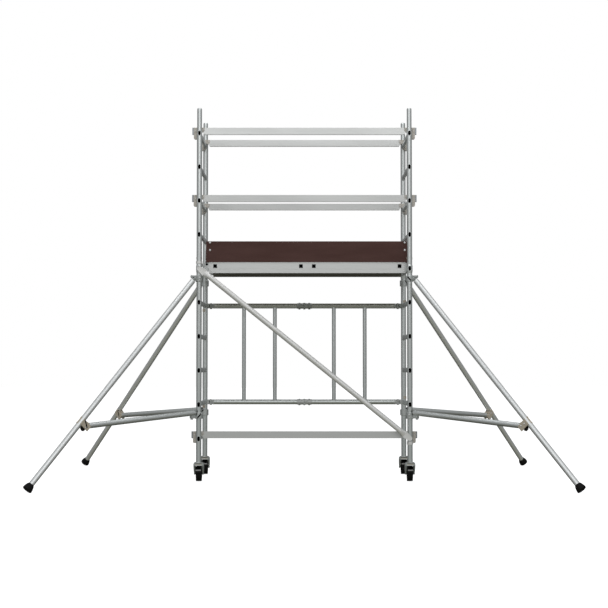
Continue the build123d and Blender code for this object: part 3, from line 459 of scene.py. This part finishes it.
def bead(mesh, points, radius, sides=8):
    """Closed bead of weld along a loop of points, uneven like a hand-run weld."""
    angles = [math.tau * k / sides for k in range(sides)]
    loops = []
    for index, point in enumerate(points):
        ahead = points[(index + 1) % len(points)] - points[index - 1]
        side = ahead.cross(Vector((0, 1, 0))).normalized()
        out = side.cross(ahead).normalized()
        size = radius * (1 + 0.16 * math.sin(index * 2.1) + 0.08 * math.sin(index * 5.3))
        loops.append([point + size * (side * math.cos(a) + out * math.sin(a)) for a in angles])
    skin(mesh, loops, closed=True)


def slab(mesh, centre, size, edge=0.0006):
    """Box with broken edges."""
    made = bmesh.ops.create_cube(mesh, size=1.0)["verts"]
    for vert in made:
        vert.co = Vector(centre) + Vector(vert.co[k] * size[k] for k in range(3))
    edges = list(dict.fromkeys(e for v in made for e in v.link_edges))     # in the same order each run
    bmesh.ops.bevel(mesh, geom=edges, offset=edge, segments=2, affect="EDGES", profile=0.5)


def oval(tall, thick, steps=28):
    """(x, z) points round a flat oval rung."""
    radius, half = thick / 2, (tall - thick) / 2
    points = []
    for index in range(steps):
        angle = math.tau * index / steps
        x, z = radius * math.cos(angle), radius * math.sin(angle)
        points.append((x, z + (half if z >= 0 else -half)))
    return points


# ---------------------------------------------------------------- added pieces

def welds_and_grips():
    """A bead of weld where each rung meets the inside of its standards, and raised grips on its top."""
    outline = oval(*RUNG_OUTLINE)
    for side in ("left", "right"):
        for level, rungs in RUNGS.items():
            low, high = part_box("%s_frame_%s" % (level, side))
            x = (low.x + high.x) / 2
            beads, grips = bmesh.new(), bmesh.new()
            for index in rungs:
                z = RUNG_FIRST + RUNG_PITCH * index
                for way in (-1, 1):
                    loop = []
                    for dx, dz in outline:
                        inner = FRAME_HALF - math.sqrt(WELD_R ** 2 - dx * dx)
                        loop.append(Vector((x + dx, way * inner, z + dz)))
                    bead(beads, loop, WELD_BEAD)
                for shift in GRIP_PLACES:
                    rise = RUNG_STRAIGHT + math.sqrt(RUNG_CAP ** 2 - shift ** 2)
                    slab(grips, (x + shift, 0, z + rise), GRIP_SIZE, edge=0.0004)
            name = "%s_%s" % (level, side)
            piece("welds_" + name, beads, WELD, "root")
            piece("grips_" + name, grips, TUBE_Y, "root")


def rail_fixings():
    """Rivets that hold each claw on its rail, and the gate bars' fixing rivets."""
    mesh = bmesh.new()
    for name, levels in RAIL_LEVELS.items():
        low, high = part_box(name)
        middle = (low.y + high.y) / 2
        for z in levels:
            for end in (-1, 1):
                for way in (-1, 1):
                    for x, rise in CLAW_RIVETS:
                        lathe(mesh, (end * x, middle + way * CLAW_HALF, z + rise), (0, way, 0), RIVET)
    piece("claw_rivets", mesh, BRIGHT, "root")
    mesh = bmesh.new()
    for end in (-1, 1):
        for z in (GATE_LOW, GATE_HIGH):
            for x in GATE_RIVETS:
                for way in (-1, 1):
                    lathe(mesh, (end * x, FRAME_HALF + way * (GATE_BAR_R - 0.0002), z), (0, way, 0), RIVET)
    piece("gate_rivets", mesh, ZINC, "root")


def platform_fixings():
    """Countersunk deck screws, the rivets in the beams, and the slot plates on the hatch."""
    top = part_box("platform_deck")[1].z
    screws = bmesh.new()
    for columns, rows in (DECK_SCREWS, MEMBER_SCREWS):
        for x in columns:
            for y in rows:
                lathe(screws, (x, y, top), (0, 0, 1), SCREW, 14)
    piece("deck_screws", screws, ZINC, "root")
    bolts = bmesh.new()
    for way in (-1, 1):
        for x in BEAM_RIVETS[0]:
            for z in BEAM_RIVETS[1]:
                lathe(bolts, (x, way * BEAM_FACE, z), (0, way, 0), RIVET)
        lathe(bolts, (HOOK_RIVET[0], way * HOOK_RIVET[1], HOOK_RIVET[2]), (0, way, 0), RIVET)
    piece("beam_rivets", bolts, BRIGHT, "root")
    plates = bmesh.new()
    places, y = SLOT_PLATES
    for x in places:
        slab(plates, (x, y, top + 0.001), SLOT_PLATE_SIZE)
        for shift in (-SLOT_SCREW, SLOT_SCREW):
            lathe(plates, (x, y + shift, top + SLOT_PLATE_SIZE[2]), (0, 0, 1), SCREW, 12)
    piece("trapdoor_slot_plates", plates, ZINC, "trapdoor")


def stabiliser_details(corner):
    """Black painted shade in the coupler splits and the bracket's joint, and bright rivets on the bosses and
    the bracket.
    """
    sx, sy = signs(corner)
    turn = math.atan2(sy * math.sin(STAB_TURN), sx * math.cos(STAB_TURN))
    axis = Vector((sx * FRAME_X, sy * FRAME_HALF, 0))
    down = Vector((math.sin(LEG_TILT), 0, -math.cos(LEG_TILT)))
    below = Vector((-math.cos(LEG_TILT), 0, -math.sin(LEG_TILT)))

    def at(x, y, z):
        """A place in the stabiliser's plane, or y to one side of it."""
        across, along = x * math.cos(turn) - y * math.sin(turn), x * math.sin(turn) + y * math.cos(turn)
        return axis + Vector((across, along, z))

    def way(x, y, z):
        """A direction in the same terms."""
        return at(x, y, z) - axis

    def on_leg(u, v, y):
        """A place u down the leg and v below it, from the middle of the bracket."""
        point = BRACKET + down * u + below * v
        return at(point.x, y, point.z)

    # painted shade: black pieces fill the coupler splits and the bracket's joint
    shade_pads = bmesh.new()
    for z, side in COUPLERS:
        loops = []
        for degrees in PAD_ANGLES:
            a = math.radians(-COUPLER_SPLIT * side + degrees)
            loops.append([at(radius * math.cos(a), radius * math.sin(a), z + height)
                          for radius, height in COUPLER_PAD])
        skin(shade_pads, loops)
    outline = []
    for end, edge in ((-1, -1), (1, -1), (1, 1), (-1, 1)):
        u, v = end * JOINT_HALF[0], edge * JOINT_HALF[1]
        outline.append((JOINT_MIDDLE[0] + u * math.cos(JOINT_SLANT) - v * math.sin(JOINT_SLANT),
                        JOINT_MIDDLE[1] + u * math.sin(JOINT_SLANT) + v * math.cos(JOINT_SLANT)))
    skin(shade_pads, [[on_leg(u / 1000, v / 1000, y) for u, v in outline] for y in JOINT_DEPTH])
    piece("pads_" + corner, shade_pads, SHADE_BLACK, "stab_" + corner)

    studs = bmesh.new()
    for u, v in BRACKET_BIG:
        lathe(studs, on_leg(u, v, -BRACKET_FACE), way(0, -1, 0), BIG_RIVET)
    lathe(studs, on_leg(*BRACKET_SMALL, BRACKET_FACE), way(0, 1, 0), RIVET)
    for z, side in COUPLERS:
        boss = math.radians(COUPLER_SPLIT * side)
        x, y = math.cos(boss), math.sin(boss)
        for rise, head in zip(BOSS_HEADS, (BIG_RIVET, RIVET)):
            lathe(studs, at(BOSS_FACE * x, BOSS_FACE * y, z + rise), way(x, y, 0), head)
    piece("studs_" + corner, studs, BRIGHT, "stab_" + corner)


def castor_details(corner):
    """Ribbed tread plate on the brake pedal, its grey partly a painted highlight along the pedal's edge, and
    dome nuts on the ends of the brake pin.
    """
    low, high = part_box("castor_%s_brake" % corner)
    x = (low.x + high.x) / 2
    tread = bmesh.new()
    slab(tread, (x, low.y - 0.0004, PEDAL_HEIGHT), TREAD_SIZE, edge=0.0008)
    for rib in RIBS:
        slab(tread, (x + RIB_PITCH * rib, low.y - 0.0018, PEDAL_HEIGHT), RIB_SIZE, edge=0.0003)
    piece("pedal_tread_" + corner, tread, PEDAL_TREAD_HIGHLIGHT, "castor_%s_pedal" % corner)
    caps = bmesh.new()
    low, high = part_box("castor_%s_fork" % corner)
    middle, sy = (low.x + high.x) / 2, signs(corner)[1]
    reach, behind, height = BRAKE_PIN
    for side in (-1, 1):
        lathe(caps, (middle + side * reach, sy * FRAME_HALF + behind, height), (side, 0, 0), DOME_NUT)
    piece("pin_caps_" + corner, caps, BRIGHT, "castor_%s_swivel" % corner)


welds_and_grips()
rail_fixings()
platform_fixings()
for corner in CORNERS:
    stabiliser_details(corner)
    castor_details(corner)


# ---------------------------------------------------------------- studio

def studio():
    """White to the camera; to the metal, a grey room that is darker behind, with a dim floor in front."""
    scene = bpy.context.scene
    scene.view_settings.view_transform = "Standard"
    world = bpy.data.worlds.new("studio")
    scene.world = world
    world.use_nodes = True
    tree = world.node_tree
    tree.nodes.clear()
    aim = node(tree, "ShaderNodeTexCoord").outputs["Generated"]
    parts = node(tree, "ShaderNodeSeparateXYZ", {"Vector": aim}).outputs
    low = ramp(tree, parts["Z"], 0.0, 0.9, (0.40, 0.405, 0.405), (0.86, 0.87, 0.89))
    under = ramp(tree, spread(tree, parts["Z"], -0.55, 0.0, 0.0, 1.0), 0.0, 1.0, (0.42, 0.42, 0.36), WHITE)
    room = multiply(tree, low, under)
    ahead = ramp(tree, spread(tree, parts["Y"], -1.0, 0.4, 1.0, 0.0), 0.0, 1.0, (0.40, 0.40, 0.395), WHITE)
    down = spread(tree, parts["Z"], -0.7, 0.0, 1.0, 0.0)
    front = spread(tree, parts["Y"], -0.6, 0.0, 1.0, 0.0)
    near_floor = ramp(tree, maths(tree, "MULTIPLY", down, front), 0.0, 1.0, (0, 0, 0), (0.13, 0.13, 0.105))
    sky = node(tree, "ShaderNodeVectorMath", {0: multiply(tree, room, ahead), 1: near_floor}, operation="ADD")
    light = node(tree, "ShaderNodeBackground", {"Color": sky.outputs[0], "Strength": 1.0})
    plain = node(tree, "ShaderNodeBackground", {"Color": (*WHITE, 1), "Strength": 1.0})
    seen = node(tree, "ShaderNodeLightPath").outputs["Is Camera Ray"]
    mixed = node(tree, "ShaderNodeMixShader", {0: seen, 1: light.outputs[0], 2: plain.outputs[0]})
    node(tree, "ShaderNodeOutputWorld", {"Surface": mixed.outputs[0]})


def softbox(name, place, target, width, height, power):
    """A large soft lamp that points at the target."""
    data = bpy.data.lights.new(name, "AREA")
    data.shape = "RECTANGLE"
    data.size, data.size_y, data.energy = width, height, power
    lamp = bpy.data.objects.new(name, data)
    lamp.location = place
    lamp.rotation_euler = (Vector(target) - Vector(place)).to_track_quat("-Z", "Y").to_euler()
    lamp.visible_camera = False
    bpy.context.scene.collection.objects.link(lamp)


def floor(half=40):
    """Pale floor that the tower doesn't mirror and that throws no light back on it."""
    mesh = bpy.data.meshes.new("floor")
    corners = [(-half, -half, 0), (half, -half, 0), (half, half, 0), (-half, half, 0)]
    mesh.from_pydata(corners, [], [(0, 1, 2, 3)])
    obj = bpy.data.objects.new("floor", mesh)
    bpy.context.scene.collection.objects.link(obj)
    material, tree, shader = new_material("pale_floor", Roughness=0.9, Emission_Strength=0.75)
    shader.inputs["Emission Color"].default_value = (*WHITE, 1)
    soft = noise(tree, stretched(tree), 3)
    colour = ramp(tree, soft, 0.3, 0.7, (0.90, 0.90, 0.90), (0.93, 0.93, 0.93))
    tree.links.new(colour, shader.inputs["Base Color"])
    mesh.materials.append(material)
    obj.visible_diffuse = False
    obj.visible_glossy = False


def camera():
    """A long lens in front of the tower, a metre above the ground."""
    data = bpy.data.cameras.new("view")
    data.lens, data.sensor_width = 86, 36
    obj = bpy.data.objects.new("view", data)
    obj.location = (-0.003, -12.335, 0.995)
    obj.rotation_euler = (math.radians(92.21), 0, 0)
    bpy.context.scene.collection.objects.link(obj)
    bpy.context.scene.camera = obj


studio()
floor()
camera()
softbox("front_box", (0, -7.5, 4.6), (0, 0, 1.6), 7.0, 3.2, 62)
softbox("top_box", (0, -0.5, 6.5), (0, 0, 0), 5.0, 4.0, 70)
